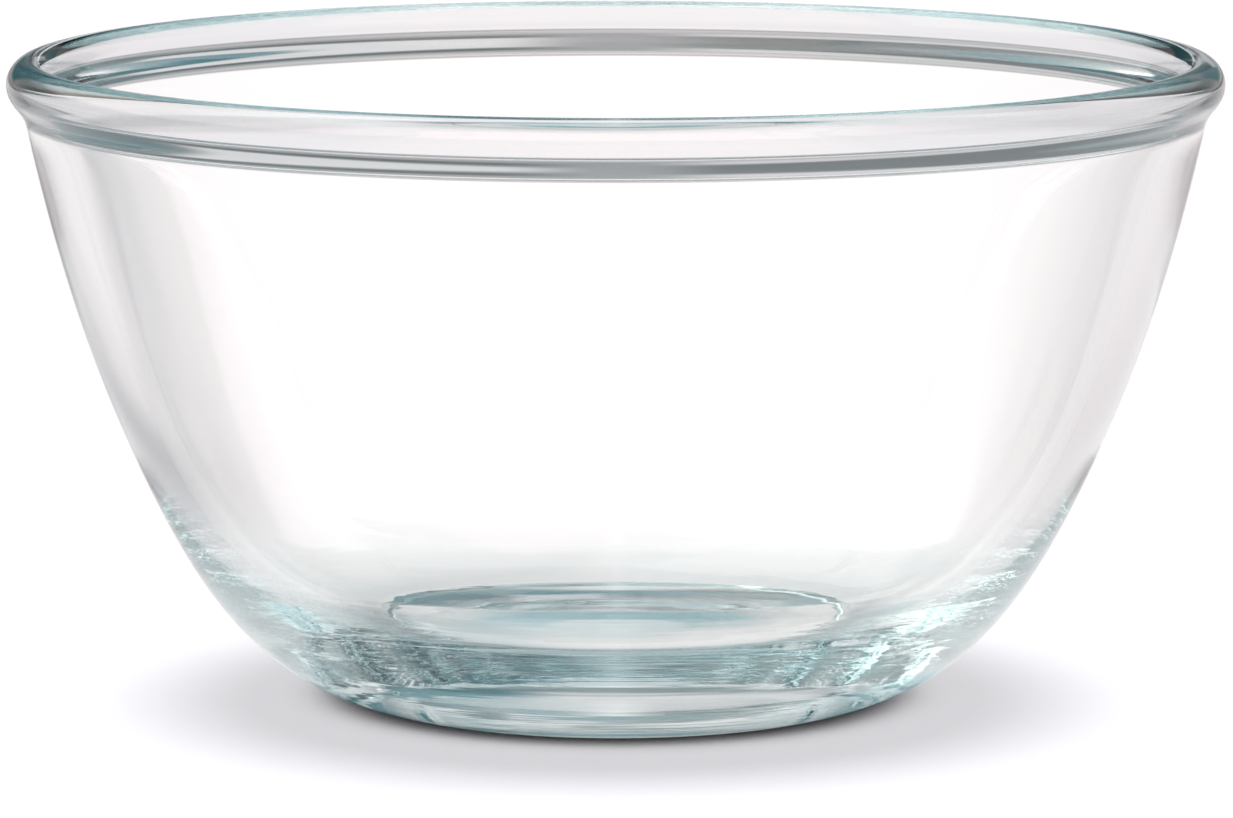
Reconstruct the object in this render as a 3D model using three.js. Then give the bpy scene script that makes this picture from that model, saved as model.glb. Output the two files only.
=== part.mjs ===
// Two litre mixing bowl, one pressing of clear glass.
//
// Frame: +Z up, millimetres. The bowl stands on z = 0 with the centre of its
// foot ring at the origin, and its axis is +Z.
//
// It is a body of revolution. The section runs from the axis under the base, out
// along the underside, up the outer wall, over the rim, down the inner wall and
// across the floor, back to the axis. Section points are [radius, z].

import * as THREE from 'three';
import { mergeVertices } from 'three/addons/utils/BufferGeometryUtils.js';

const SEGMENTS = 80;               // around the axis
const MERGE_TOLERANCE = 1e-3;
const ROUND = 0.5523;              // handle length of a quarter round, per unit radius

// ------------------------------------------------------------ base and foot
const RECESS_CROWN = 1.5;          // depth of the hollow under the base, on the axis
const RECESS_DEPTH = 1.2;          // its depth at the edge of its roof
const RECESS_EDGE_RADIUS = 41.2;   // where its roof meets its rounded edge
const RECESS_ROOF_HANDLE = 1.1;    // level handle at the top of the rounded edge
const FOOT_INNER = [43.0, 0];      // the flat contact ring lies between these two
const FOOT_OUTER = [45.0, 0];
const FOOT_INNER_HANDLE = [-0.5, 0.35]; // radius and z offset from FOOT_INNER

// --------------------------------------------------------------- outer wall
const WALL_CONTROL = [             // steer the heel and the outer wall
  [76.91, 7.9], [78.42, 44.27], [88.82, 40.03],
];
const NECK = [101.64, 100.0];      // outer wall just under the bead
const NECK_ANGLE = 12.07;          // degrees from upright
const NECK_HANDLE = 3.2;

// ---------------------------------------------------------------------- rim
const WIDEST = [105.0, 107.1];     // widest circle, on the outside of the bead
const WIDEST_LOWER_HANDLE = 3.4;
const CREST = [100.8, 111.3];      // highest circle, at the full height of the bowl
const MOUTH = [98.2, 107.4];       // where the rim meets the inner wall

// --------------------------------------------------------- inner wall, floor
const INNER_WALL_ANGLE = 11.26;    // degrees from upright, at the mouth
const MOUTH_LOWER_HANDLE = 15;
const FLOOR_EDGE = [62.0, 19.6];   // where the dished floor turns into the wall
const FLOOR_EDGE_ANGLE = 40.0;     // degrees from level
const FLOOR_EDGE_WALL_HANDLE = 25;
const FLOOR_EDGE_FLOOR_HANDLE = 18;
const FLOOR_Z = 7.0;               // floor on the axis
const FLOOR_CONTROL_RADIUS = 24;   // level control point of the floor

// ------------------------------------------------------------ curve helpers
const { degToRad } = THREE.MathUtils;

// Step from a point along a direction in degrees from upright, leaning outward.
const stepUp = ([radius, z], angle, length) => [
  radius + length * Math.sin(degToRad(angle)),
  z + length * Math.cos(degToRad(angle)),
];

// Step from a point along a direction in degrees from level, rising outward.
const stepOut = ([radius, z], angle, length) => [
  radius + length * Math.cos(degToRad(angle)),
  z + length * Math.sin(degToRad(angle)),
];

// Bezier curve over any number of control points, by repeated interpolation.
// Its first point is left out, since the curve before it ends there.
function bezier(control, steps) {
  const points = [];
  for (let i = 1; i <= steps; i++) {
    let row = control.map(([radius, z]) => new THREE.Vector2(radius, z));
    while (row.length > 1) {
      row = row.slice(1).map((point, k) => row[k].clone().lerp(point, i / steps));
    }
    points.push(row[0]);
  }
  return points;
}

// ------------------------------------------------------------------ section
function underside() {
  const recessEdge = [RECESS_EDGE_RADIUS, RECESS_DEPTH];
  const roofMiddleZ = (RECESS_CROWN * 3 + RECESS_DEPTH) / 4; // on a parabola crown to edge
  return [
    new THREE.Vector2(0, RECESS_CROWN),
    new THREE.Vector2(RECESS_EDGE_RADIUS * 0.5, roofMiddleZ),
    new THREE.Vector2(...recessEdge),
    ...bezier([
      recessEdge,
      [RECESS_EDGE_RADIUS + RECESS_ROOF_HANDLE, RECESS_DEPTH],
      [FOOT_INNER[0] + FOOT_INNER_HANDLE[0], FOOT_INNER[1] + FOOT_INNER_HANDLE[1]],
      FOOT_INNER,
    ], 2),
    new THREE.Vector2(...FOOT_OUTER),
  ];
}

const outerWall = () => bezier([FOOT_OUTER, ...WALL_CONTROL, NECK], 16);

function rim() {
  const outerWidth = WIDEST[0] - CREST[0];
  const outerHeight = CREST[1] - WIDEST[1];
  const innerWidth = CREST[0] - MOUTH[0];
  const innerHeight = CREST[1] - MOUTH[1];
  return [
    // underside of the bead, hollow first and then round
    ...bezier([
      NECK,
      stepUp(NECK, NECK_ANGLE, NECK_HANDLE),
      stepUp(WIDEST, 0, -WIDEST_LOWER_HANDLE),
      WIDEST,
    ], 5),
    // outer round, up to the crest
    ...bezier([
      WIDEST,
      stepUp(WIDEST, 0, ROUND * outerHeight),
      stepOut(CREST, 0, ROUND * outerWidth),
      CREST,
    ], 4),
    // inner round, down to the mouth
    ...bezier([
      CREST,
      stepOut(CREST, 180, ROUND * innerWidth),
      stepUp(MOUTH, INNER_WALL_ANGLE, ROUND * innerHeight),
      MOUTH,
    ], 3),
  ];
}

function inside() {
  const wall = bezier([
    MOUTH,
    stepUp(MOUTH, INNER_WALL_ANGLE, -MOUTH_LOWER_HANDLE),
    stepOut(FLOOR_EDGE, FLOOR_EDGE_ANGLE, FLOOR_EDGE_WALL_HANDLE),
    FLOOR_EDGE,
  ], 9);
  const floor = bezier([
    FLOOR_EDGE,
    stepOut(FLOOR_EDGE, FLOOR_EDGE_ANGLE, -FLOOR_EDGE_FLOOR_HANDLE),
    [FLOOR_CONTROL_RADIUS, FLOOR_Z],
    [0, FLOOR_Z],
  ], 7);
  floor.at(-1).x = 0;              // exactly on the axis, free of rounding error
  return [...wall, ...floor];
}

// -------------------------------------------------------------------- solid
// Turns a section about +Z into one closed, welded surface.
function turn(section) {
  const lathe = new THREE.LatheGeometry(section, SEGMENTS);
  lathe.rotateX(Math.PI / 2);      // lathe axis +Y becomes +Z
  // vertices weld only where all their attributes agree
  lathe.deleteAttribute('normal');
  lathe.deleteAttribute('uv');
  const solid = mergeVertices(lathe, MERGE_TOLERANCE);

  // drop the triangles that shrink to a line on the axis
  const corners = solid.index.array;
  const kept = [];
  for (let i = 0; i < corners.length; i += 3) {
    const triangle = corners.slice(i, i + 3);
    if (new Set(triangle).size === 3) kept.push(...triangle);
  }
  solid.setIndex(kept);
  solid.computeVertexNormals();
  return solid;
}

const clearGlass = new THREE.MeshStandardMaterial({
  color: 0xdfeceb,
  roughness: 0.04,
  metalness: 0,
});

const section = [...underside(), ...outerWall(), ...rim(), ...inside()];
const bowl = new THREE.Mesh(turn(section), clearGlass);
bowl.name = 'glass_bowl';

const group = new THREE.Group();
group.name = 'mixing_bowl';
group.add(bowl);

export default group;
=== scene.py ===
# Clear glass mixing bowl on a white sweep.
# The bowl stands on z = 0 and is turned about the Z axis; the camera looks along +Y from the front.
# The section is in millimetres, everything else in metres and degrees unless noted.
import math

import bpy
import numpy as np
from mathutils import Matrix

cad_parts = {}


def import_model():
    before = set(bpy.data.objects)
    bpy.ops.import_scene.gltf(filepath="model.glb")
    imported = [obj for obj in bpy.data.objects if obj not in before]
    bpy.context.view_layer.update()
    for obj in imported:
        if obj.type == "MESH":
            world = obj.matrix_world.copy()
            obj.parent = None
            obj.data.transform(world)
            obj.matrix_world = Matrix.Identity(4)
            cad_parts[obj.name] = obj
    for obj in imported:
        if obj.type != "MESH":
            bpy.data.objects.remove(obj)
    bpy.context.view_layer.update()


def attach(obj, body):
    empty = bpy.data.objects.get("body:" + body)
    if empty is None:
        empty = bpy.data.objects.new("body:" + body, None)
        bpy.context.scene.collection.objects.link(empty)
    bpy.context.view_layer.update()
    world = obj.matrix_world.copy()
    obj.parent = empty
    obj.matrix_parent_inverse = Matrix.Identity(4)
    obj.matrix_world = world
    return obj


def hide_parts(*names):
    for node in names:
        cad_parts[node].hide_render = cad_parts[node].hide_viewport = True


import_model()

# ------------------------------------------------------------------ section
HEIGHT = 111.3
FOOT_INNER, FOOT_OUTER = 43.0, 45.0  # radii of the ring the bowl stands on
UNDER_Z = 1.2  # height of the underside beside the foot
NECK, NECK_TILT = (101.64, 100.0), 12.07  # where the outer wall meets the rim
RIM_RADIUS = 105.0
RIM_OUTER_ROUND = 4.2  # radius of the rim's outer quarter circle
RIM_INNER_WIDTH, RIM_INNER_DROP = 2.6, 3.9  # from the crest in to the mouth
MOUTH_TILT = 11.26
BEND, BEND_SLOPE = (62.0, 19.6), 40.0  # where the inner wall turns into the inside floor
FLOOR_Z = 7.0  # inside floor at the axis
QUARTER = 0.5523  # Bezier handle length of a quarter circle, per unit radius


def bezier(control, count):
    """Points of a Bezier curve of any degree, without its first point."""
    t = np.linspace(0, 1, count + 1)[1:, None]
    rows = [np.repeat(np.array(point, float)[None], count, 0) for point in control]
    while len(rows) > 1:
        rows = [a * (1 - t) + b * t for a, b in zip(rows[:-1], rows[1:])]
    return rows[0]


def up(point, tilt, length):
    """The point moved upward, tilted outward from vertical."""
    tilt = math.radians(tilt)
    return (point[0] + length * math.sin(tilt), point[1] + length * math.cos(tilt))


def out(point, slope, length):
    """The point moved outward, sloping up from level."""
    slope = math.radians(slope)
    return (point[0] + length * math.cos(slope), point[1] + length * math.sin(slope))


def section():
    """Closed section as (radius, height): underside, foot, outer wall, rim, inner wall, floor."""
    widest = (RIM_RADIUS, HEIGHT - RIM_OUTER_ROUND)
    crest = (RIM_RADIUS - RIM_OUTER_ROUND, HEIGHT)
    mouth = (crest[0] - RIM_INNER_WIDTH, HEIGHT - RIM_INNER_DROP)
    foot = (FOOT_OUTER, 0.0)
    heel = (FOOT_INNER - 1.8, UNDER_Z)
    handle = QUARTER * RIM_OUTER_ROUND
    underside = [
        [0, 1.5], [0.4, 1.5], [4, 1.49], [12, 1.43], [24, 1.31], [34, 1.22],
        [FOOT_INNER - 2.1, UNDER_Z], heel,
    ]
    foot_ring = [[FOOT_INNER + 0.2, 0], [FOOT_INNER + 0.8, 0], [FOOT_OUTER - 0.2, 0], foot]
    curves = [
        (64, foot, (76.91, 7.9), (78.42, 44.27), (88.82, 40.03), NECK),
        (14, NECK, up(NECK, NECK_TILT, 3.2), up(widest, 0, -3.4), widest),
        (12, widest, up(widest, 0, handle), out(crest, 0, handle), crest),
        (10, crest, out(crest, 180, QUARTER * RIM_INNER_WIDTH),
         up(mouth, MOUTH_TILT, QUARTER * RIM_INNER_DROP), mouth),
        (44, mouth, up(mouth, MOUTH_TILT, -15), out(BEND, BEND_SLOPE, 25.0), BEND),
        (26, BEND, out(BEND, BEND_SLOPE, -18.0), (24.0, FLOOR_Z), (0, FLOOR_Z)),
    ]
    into_foot = [
        heel, (FOOT_INNER - 0.7, UNDER_Z), (FOOT_INNER - 0.5, 0.35), (FOOT_INNER, 0),
    ]
    parts = [np.array(underside), bezier(into_foot, 8), np.array(foot_ring)]
    parts += [bezier(control, count) for count, *control in curves]
    return np.vstack(parts)


def add_object(name, data):
    obj = bpy.data.objects.new(name, data)
    bpy.context.scene.collection.objects.link(obj)
    return obj


def turned(name, outline, segments):
    """A closed body of revolution from an outline that starts and ends on the axis."""
    angles = np.arange(segments) * (2 * math.pi / segments)
    rings = outline[1:-1]
    grid = np.empty((len(rings), segments, 3))
    grid[:, :, 0] = rings[:, :1] * np.cos(angles)
    grid[:, :, 1] = rings[:, :1] * np.sin(angles)
    grid[:, :, 2] = rings[:, 1:]
    poles = [[0, 0, outline[0, 1]], [0, 0, outline[-1, 1]]]
    verts = np.vstack([grid.reshape(-1, 3), poles]) / 1000.0

    bottom, top = len(verts) - 2, len(verts) - 1
    last = (len(rings) - 1) * segments
    pairs = [(j, (j + 1) % segments) for j in range(segments)]
    faces = [[bottom, k, j] for j, k in pairs]
    for a in range(0, last, segments):
        b = a + segments
        faces += [[a + j, a + k, b + k, b + j] for j, k in pairs]
    faces += [[top, last + j, last + k] for j, k in pairs]

    mesh = bpy.data.meshes.new(name)
    mesh.from_pydata(verts.tolist(), [], faces)
    mesh.validate()
    mesh.polygons.foreach_set("use_smooth", [True] * len(mesh.polygons))
    mesh.update()
    return add_object(name, mesh)


bowl = turned("glass_bowl_pressing", section(), segments=288)
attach(bowl, "root")
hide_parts("glass_bowl")
bowl.visible_diffuse = False  # shade discs stand in for the glass in the sweep's light


# ------------------------------------------------------------- node building
WHITE = (1, 1, 1)


def tone(level, tint=WHITE):
    return tuple(level * part for part in tint)


class Graph:
    """Short names for building the node tree of a material or world."""

    def __init__(self, owner, clear=True):
        owner.use_nodes = True
        self.tree = owner.node_tree
        if clear:
            self.tree.nodes.clear()

    def put(self, value, socket):
        """Link a socket, or set a value; a colour of three parts gets alpha 1."""
        if isinstance(value, bpy.types.NodeSocket):
            self.tree.links.new(value, socket)
        elif isinstance(value, tuple):
            alpha = (1.0,) if len(value) < len(socket.default_value) else ()
            socket.default_value = value + alpha
        else:
            socket.default_value = value

    def node(self, kind, inputs=None, **settings):
        made = self.tree.nodes.new("ShaderNode" + kind)
        for key, value in settings.items():
            setattr(made, key, value)
        for key, value in (inputs or {}).items():
            self.put(value, made.inputs[key])
        return made

    def math(self, op, a, b=0.0, clamp=False):
        return self.node("Math", {0: a, 1: b, 2: 0.0}, operation=op, use_clamp=clamp).outputs[0]

    def vmath(self, op, a, b=(0, 0, 0)):
        made = self.node("VectorMath", {0: a, 1: b}, operation=op)
        return made.outputs["Value" if op in ("DOT_PRODUCT", "LENGTH") else "Vector"]

    def xyz(self, vector):
        return self.node("SeparateXYZ", {0: vector}).outputs

    def object_place(self):
        return self.node("TexCoord").outputs["Object"]

    def noise(self, vector, scale, detail):
        inputs = {"Vector": vector, "Scale": scale, "Detail": detail}
        return self.node("TexNoise", inputs, noise_dimensions="3D").outputs[0]

    def step(self, x, start, end, before=0.0, after=1.0):
        """Smooth from before, at start, to after, at end; start may be above end."""
        if start > end:
            start, end, before, after = end, start, after, before
        inputs = {"Value": x, "From Min": start, "From Max": end, "To Min": before, "To Max": after}
        return self.node("MapRange", inputs, interpolation_type="SMOOTHSTEP").outputs[0]

    def window(self, x, low, high, soft):
        """1 between low and high, 0 outside, with soft edges."""
        rise = self.step(x, low - soft, low + soft)
        return self.math("MULTIPLY", rise, self.step(x, high + soft, high - soft))

    def ramp(self, x, table):
        """Colour for x, 0 to 1 over the table's span; rows are (place, level, tint if not white)."""
        low, span = table[0][0], table[-1][0] - table[0][0]
        stops = [((place - low) / span, tone(*colour) + (1,)) for place, *colour in table]
        made = self.node("ValToRGB", {0: x})
        made.color_ramp.interpolation = "EASE"
        elements = made.color_ramp.elements
        elements[0].position, elements[0].color = stops[0]
        elements[1].position, elements[1].color = stops[-1]
        for place, colour in stops[1:-1]:
            elements.new(place).color = colour
        return made.outputs[0]

    def mix(self, factor, a, b, blend="MIX"):
        settings = {"data_type": "RGBA", "blend_type": blend, "clamp_result": False}
        return self.node("Mix", {0: factor, 6: a, 7: b}, **settings).outputs[2]

    def mix_shader(self, factor, a, b):
        return self.node("MixShader", {0: factor, 1: a, 2: b}).outputs[0]


# --------------------------------------------------------------------- glass
CHILL, FINE, BROAD = 0.000060, 0.000010, 0.000060  # heights of the surface waves
# painted shade on the rim: a grey mixed into the glass colour above the neck
RIM_PAINTED_SHADE = (0.82, 0.825, 0.84)


def glass():
    """Pressed glass: polished walls, fine ripples round the base, a faint waviness all over."""
    material = bpy.data.materials.new("pressed_clear_glass")
    g = Graph(material)
    surface = g.node("BsdfPrincipled", {"IOR": 1.474, "Transmission Weight": 1.0})
    volume = g.node("VolumeAbsorption", {"Color": (0.06, 0.44, 0.485), "Density": 3.0})
    g.node("OutputMaterial", {"Surface": surface.outputs[0], "Volume": volume.outputs[0]})

    # place on the bowl: round the axis, and along the section as radius plus height
    x, y, z = g.xyz(g.object_place())
    squares = g.math("ADD", g.math("MULTIPLY", x, x), g.math("MULTIPLY", y, y))
    radius = g.math("SQRT", squares)
    inverse = g.math("DIVIDE", 1.0, g.math("MAXIMUM", radius, 0.002))  # safe at the axis
    unit_x, unit_y = g.math("MULTIPLY", x, inverse), g.math("MULTIPLY", y, inverse)
    along = g.math("ADD", radius, z)

    # the ripples fade out up the wall and under the base
    under = g.step(radius, start=0.043, end=0.053, before=0.12)
    low = g.math("MULTIPLY", g.step(z, start=0.034, end=0.012), under)

    def ripples(turns, spacing, height):
        """Noise drawn out into rings: variation round the axis, and ring spacing in mm."""
        place = g.node("CombineXYZ", {
            0: g.math("MULTIPLY", unit_x, turns),
            1: g.math("MULTIPLY", unit_y, turns),
            2: g.math("MULTIPLY", along, 1000.0 / spacing),
        }).outputs[0]
        waves = g.noise(place, scale=1.0, detail=1.0)
        return g.math("MULTIPLY", g.math("MULTIPLY", waves, low), height)

    chill = ripples(turns=0.5, spacing=2.4, height=CHILL)
    fine = ripples(turns=1.2, spacing=0.9, height=FINE)
    waviness = g.noise(g.object_place(), scale=34.0, detail=1.0)
    waviness = g.math("MULTIPLY", waviness, g.step(z, start=0.016, end=0.045, before=0.25))
    broad = g.math("MULTIPLY", waviness, BROAD)
    height = g.math("ADD", chill, g.math("ADD", fine, broad))
    bump = g.node("Bump", {"Strength": 1.0, "Distance": 1.0, "Height": height})
    g.put(bump.outputs[0], surface.inputs["Normal"])

    worn = g.noise(g.object_place(), scale=60.0, detail=4.0)
    roughness = g.step(worn, start=0.45, end=0.80, after=0.03)
    g.put(roughness, surface.inputs["Roughness"])
    # painted shade: the rim's glass is coloured a shade greyer than the walls, so the rim band reads
    # darker
    colour = g.mix(g.step(z, start=0.1000, end=0.1045), WHITE, RIM_PAINTED_SHADE)
    g.put(colour, surface.inputs["Base Color"])
    return material


bowl.data.materials.append(glass())


# --------------------------------------------------------------------- sweep
def studio_axes(g):
    """The view direction, and the level directions ahead of the camera and to its right."""
    settings = {"vector_type": "VECTOR", "convert_from": "CAMERA", "convert_to": "WORLD"}
    view = g.node("VectorTransform", {0: (0, 0, 1)}, **settings).outputs[0]
    level = g.vmath("MULTIPLY", view, (1, 1, 0))
    # the small +Y keeps a direction when the camera looks straight down
    ahead = g.vmath("NORMALIZE", g.vmath("ADD", level, (0, 1e-4, 0)))
    return view, ahead, g.vmath("CROSS_PRODUCT", ahead, (0, 0, 1))


WARM = (1.02, 0.98, 0.985)
PINK = (1.035, 0.98, 0.99)
BLUE = (1.0, 0.985, 1.01)
TEAL = (0.37, 0.88, 0.99)
MILD = (0.58, 0.92, 1.0)
CREAM = (1.22, 1.0, 0.94)
SOFT_CREAM = (1.05, 1.0, 0.94)
COOL = (0.85, 0.98, 1.0)
PALE = (0.93, 0.98, 1.0)

# Painted light and shade: how bright the sweep glows in the glass. Tone tables hold (place, level,
# tint if not white).
# Behind the bowl a lit wedge spreads away from the camera; places are distances past its edge.
WEDGE_HALF_WIDTH, WEDGE_SPREAD = 0.05, 0.18  # at the axis, and gained per metre ahead
FLOOR_LEFT = [
    (-0.010, 1.06, WARM), (-0.001, 1.0, PINK), (0.004, 0.97, PINK), (0.009, 0.87, WARM),
    (0.022, 0.84, WARM), (0.050, 0.67, BLUE), (0.078, 0.55, BLUE), (0.11, 0.82, WARM),
    (0.15, 0.93, PINK), (0.25, 0.90, WARM),
]
FLOOR_RIGHT = [
    (-0.020, 1.06, WARM), (0.0, 1.02, WARM), (0.015, 0.97, WARM), (0.030, 0.90, WARM),
    (0.050, 0.83, WARM), (0.09, 0.79, PINK), (0.16, 0.88, PINK), (0.25, 0.88, WARM),
]
# Close to the bowl lie its shadow and the light come through the glass: by distance from the
# axis, in front on the left and right, and behind.
NEAR_LEFT = [
    (0.0, 0.84, COOL), (0.012, 0.80, COOL), (0.020, 0.76, COOL), (0.030, 0.66, COOL),
    (0.0375, 0.62, COOL), (0.0415, 0.30, TEAL), (0.0465, 0.10, TEAL), (0.051, 0.22, TEAL),
    (0.058, 0.50, COOL), (0.072, 0.84), (0.090, 0.97), (0.12, 1.0),
]
NEAR_RIGHT = [
    (0.0, 0.84, COOL), (0.012, 0.80, COOL), (0.020, 0.84), (0.030, 0.80), (0.041, 0.72),
    (0.0465, 0.18, TEAL), (0.051, 0.22, TEAL), (0.056, 0.46, TEAL), (0.062, 0.78),
    (0.075, 0.88), (0.090, 0.97), (0.12, 1.0),
]
NEAR_BACK = [
    (0.0, 0.84, COOL), (0.010, 0.82, COOL), (0.0145, 0.50, TEAL), (0.023, 0.50, TEAL),
    (0.032, 0.76), (0.045, 0.76), (0.070, 0.90), (0.090, 0.98), (0.12, 1.0),
]
NEAR_ABOVE = [  # all round, when the camera looks down through the base
    (0.0, 0.88, COOL), (0.030, 0.82, COOL), (0.0415, 0.68, COOL), (0.0485, 0.58, COOL),
    (0.060, 0.76), (0.075, 0.90), (0.090, 0.98), (0.12, 1.0),
]
FLOOR_COLOUR = (0.86, 0.853, 0.885)
FLOOR_HALF = 14.0


def painted_sweep_tones(g):
    """Painted light and shade: the colour the sweep glows with for the glass, in place of its lit
    colour.
    """
    place = g.node("NewGeometry").outputs["Position"]
    view, ahead_axis, right_axis = studio_axes(g)
    view_z = g.xyz(view)[2]
    side = g.vmath("DOT_PRODUCT", place, right_axis)
    ahead = g.vmath("DOT_PRODUCT", place, ahead_axis)
    distance = g.vmath("LENGTH", place)

    spread = g.math("MULTIPLY", ahead, WEDGE_SPREAD)
    past = g.math("SUBTRACT", g.math("ABSOLUTE", side), spread)
    past = g.math("SUBTRACT", past, WEDGE_HALF_WIDTH)
    tones = []
    for table in (FLOOR_LEFT, FLOOR_RIGHT):
        low, span = table[0][0], table[-1][0] - table[0][0]
        x = g.math("MULTIPLY", g.math("SUBTRACT", past, low), 1 / span, clamp=True)
        tones.append(g.ramp(x, table))
    far = g.mix(g.math("GREATER_THAN", side, 0.0), *tones)
    far = g.mix(g.step(ahead, start=0.0, end=-0.10), far, tone(1.05))

    x = g.math("MULTIPLY", distance, 1 / NEAR_LEFT[-1][0], clamp=True)
    tables = (NEAR_LEFT, NEAR_RIGHT, NEAR_BACK, NEAR_ABOVE)
    left, right, back, above = [g.ramp(x, table) for table in tables]
    front = g.mix(g.step(side, start=-0.022, end=-0.006), left, right)
    near = g.mix(g.step(ahead, start=-0.012, end=0.012), front, back)
    near = g.mix(g.step(view_z, start=-0.20, end=-0.36), near, above)

    both = g.mix(1.0, near, far, "MULTIPLY")
    seen = g.mix(g.step(distance, start=0.06, end=0.12), near, both)
    # the lit sweep ends
    dim = g.mix(1.0, seen, tone(0.45), "MULTIPLY")
    return g.mix(g.step(distance, start=1.5, end=3.5), seen, dim)


def floor():
    mesh = bpy.data.meshes.new("floor")
    corners = [(-1, -1), (1, -1), (1, 1), (-1, 1)]
    verts = [(x * FLOOR_HALF, y * FLOOR_HALF, -0.0002) for x, y in corners]
    mesh.from_pydata(verts, [], [(0, 1, 2, 3)])
    obj = add_object("floor", mesh)
    material = bpy.data.materials.new("floor")
    g = Graph(material, clear=False)
    nodes = g.tree.nodes
    matt = nodes["Principled BSDF"]
    matt.inputs["Roughness"].default_value = 1.0
    matt.inputs["Specular IOR Level"].default_value = 0.0
    g.put(FLOOR_COLOUR, matt.inputs["Base Color"])
    # painted light and shadow: to glass rays the sweep glows with set tones of light and shade in
    # place of its soft light, without that light's noise
    painted_glow = g.node("Emission", {"Color": painted_sweep_tones(g)})
    rays = g.node("LightPath").outputs
    glassy = g.math("MAXIMUM", rays["Is Glossy Ray"], rays["Is Transmission Ray"])
    shader = g.mix_shader(glassy, matt.outputs[0], painted_glow.outputs[0])
    g.put(shader, nodes["Material Output"].inputs["Surface"])
    mesh.materials.append(material)
    return obj


sweep = floor()

# --------------------------------------------------------------------- world
# Azimuth: 0 ahead, 90 right, -90 left, 180 behind the camera.
DEGREES = 57.29578  # per radian
AROUND = [  # (azimuth, level) of the room
    (-180, 0.50), (-95, 0.48), (-60, 0.50), (-40, 0.45), (-20, 0.36), (0, 0.38),
    (20, 0.45), (40, 0.45), (60, 0.50), (90, 0.48), (180, 0.50),
]
ELEVATION = [  # (elevation, factor on the level)
    (0, 1.5), (3, 1.45), (6, 1.15), (9, 1.0), (12, 1.0), (16, 1.6), (27, 2.7), (45, 2.6), (90, 2.4),
]
PANELS = [  # softboxes and flags: azimuth from, to, soft edge, elevation the same, level, tint
    (112, 200, 8.0, 20, 70, 5, 2.2, CREAM),
    (-200, -118, 5.0, 20, 70, 5, 2.2, CREAM),
    (-112, -24, 5.0, 20, 84, 4, 2.3, SOFT_CREAM),
    (-24, -1.5, 2.0, 17, 84, 4, 0.30, TEAL),
    (1.5, 24, 2.0, 15, 42, 4, 0.07, TEAL),
    (1.5, 60, 2.0, 40, 84, 4, 0.07, TEAL),
    (-22, -5.5, 2.0, 2, 17, 2, 0.20, TEAL),
    (5.5, 22, 2.0, 2, 13, 2, 0.34, MILD),
    (-5.5, 5.5, 1.5, 2.8, 13, 1.0, 0.38, PALE),
    (-5.5, 5.5, 1.5, 12, 18, 1.0, 0.30, TEAL),
    (-12, -0.7, 0.6, 4.8, 7.2, 0.6, 0.16, COOL),
    (-5.5, -0.7, 0.6, 8.0, 12, 0.6, 0.80),
    (0.7, 12, 0.6, 6.8, 11.5, 0.6, 0.21, COOL),
    (0.7, 12, 0.6, 3.0, 6.0, 0.6, 0.70),
]


def world():
    """A dim studio with softboxes, which turns with the camera as if the bowl were on a turntable."""
    studio = bpy.data.worlds.new("studio")
    bpy.context.scene.world = studio
    g = Graph(studio)
    studio.cycles_visibility.diffuse = False
    ray = g.node("TexCoord").outputs["Generated"]
    view, ahead_axis, right_axis = studio_axes(g)
    ahead = g.vmath("DOT_PRODUCT", ray, ahead_axis)
    side = g.vmath("DOT_PRODUCT", ray, right_axis)
    azimuth = g.math("MULTIPLY", g.math("ARCTAN2", side, ahead), DEGREES)
    elevation = g.math("MULTIPLY", g.math("ARCSINE", g.xyz(ray)["Z"]), DEGREES)

    around = g.math("ADD", g.math("MULTIPLY", azimuth, 1 / 360), 0.5)
    height = g.math("MULTIPLY", elevation, 1 / 90, clamp=True)
    light = g.mix(1.0, g.ramp(around, AROUND), g.ramp(height, ELEVATION), "MULTIPLY")
    # overhead softbox
    light = g.mix(g.step(elevation, start=50, end=75), light, tone(1.0))
    for az_from, az_to, az_soft, el_from, el_to, el_soft, *colour in PANELS:
        across = g.window(azimuth, az_from, az_to, az_soft)
        upward = g.window(elevation, el_from, el_to, el_soft)
        light = g.mix(g.math("MULTIPLY", across, upward), light, tone(*colour))
    # what is straight behind the bowl is white, whatever the camera's height
    off_view = g.math("ARCCOSINE", g.vmath("DOT_PRODUCT", ray, view))
    off_view = g.math("MULTIPLY", off_view, DEGREES)
    light = g.mix(g.step(off_view, start=9.0, end=7.0), light, tone(1.4))

    room = g.node("Background", {"Color": light}).outputs[0]
    backdrop = g.node("Background", {"Color": tone(1.3)}).outputs[0]
    camera_ray = g.node("LightPath").outputs["Is Camera Ray"]
    g.node("OutputWorld", {0: g.mix_shader(camera_ray, room, backdrop)})


world()


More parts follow.
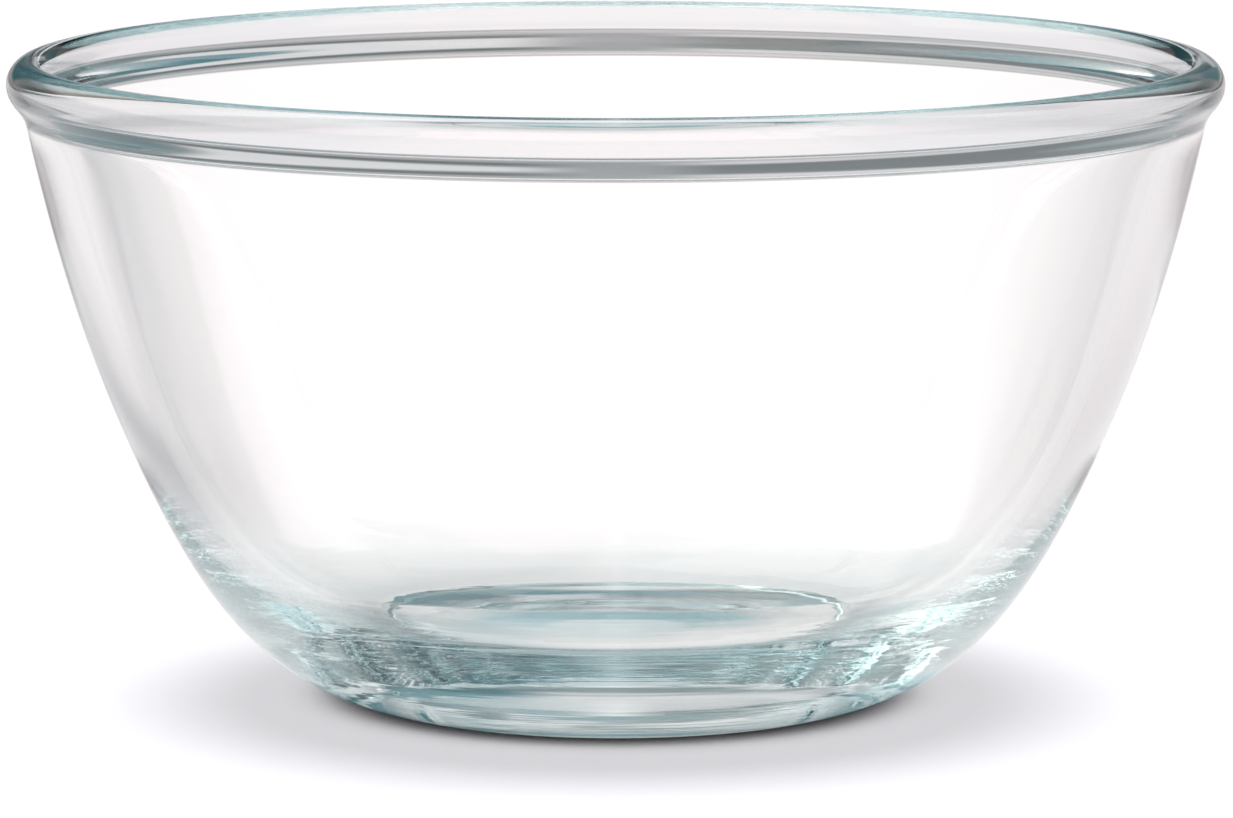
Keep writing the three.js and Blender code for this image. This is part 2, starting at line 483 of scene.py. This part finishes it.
# -------------------------------------------------------------------- lights
def shade(name, radius, height, toward_camera=0.0, sides=96):
    """A disc that casts the soft shadow in place of the glass, which would focus the light."""
    angles = [2 * math.pi * i / sides for i in range(sides)]
    ring = [(radius * math.cos(a), radius * math.sin(a) - toward_camera, height) for a in angles]
    mesh = bpy.data.meshes.new(name)
    mesh.from_pydata(ring, [], [tuple(range(sides))])
    obj = add_object(name, mesh)
    obj.visible_camera = obj.visible_glossy = False
    obj.visible_transmission = obj.visible_diffuse = False
    return obj


def floor_light(name, spread, level, blocker):
    """Light from above that falls on the sweep only, and is stopped by its own shade only."""
    data = bpy.data.lights.new(name, "SUN")
    data.angle = math.radians(spread)
    data.energy = level * math.pi / FLOOR_COLOUR[0]
    obj = add_object(name, data)
    obj.location = (0, 0, 2)
    obj.visible_glossy = obj.visible_transmission = obj.visible_camera = False
    for kind, member in (("receiver", sweep), ("blocker", blocker)):
        group = bpy.data.collections.new(name + "_" + kind)
        group.objects.link(member)
        setattr(obj.light_linking, kind + "_collection", group)


overhead_shade = shade("overhead_shade", radius=0.0776, height=0.070, toward_camera=0.0064)
floor_light("overhead", spread=25, level=0.37, blocker=overhead_shade)
fill_shade = shade("fill_shade", radius=0.0505, height=0.0045)
floor_light("fill", spread=127, level=0.67, blocker=fill_shade)

# -------------------------------------------------------------------- camera
CAMERA_DISTANCE, CAMERA_HEIGHT = 1.2426, 0.2354
CAMERA_PITCH = 8.511  # below level

scene = bpy.context.scene
lens = bpy.data.cameras.new("camera")
camera = add_object("camera", lens)
camera.location = (0, -CAMERA_DISTANCE, CAMERA_HEIGHT)
camera.rotation_euler = (math.radians(90 - CAMERA_PITCH), 0, 0)
lens.sensor_width = 36.0
lens.lens = 210.934307
lens.clip_start, lens.clip_end = 0.01, 60
lens.shift_x = 0.00060827251
scene.camera = camera

# -------------------------------------------------------------------- render
scene.view_settings.view_transform = "Standard"
scene.view_settings.look = "None"
cycles = scene.cycles
cycles.max_bounces = cycles.transmission_bounces = cycles.glossy_bounces = 48
cycles.diffuse_bounces = 4
cycles.transparent_max_bounces = 16
cycles.volume_bounces = 0
cycles.caustics_reflective = cycles.caustics_refractive = True
cycles.blur_glossy = 0.0
cycles.sample_clamp_indirect = 8.0
cycles.use_denoising = True
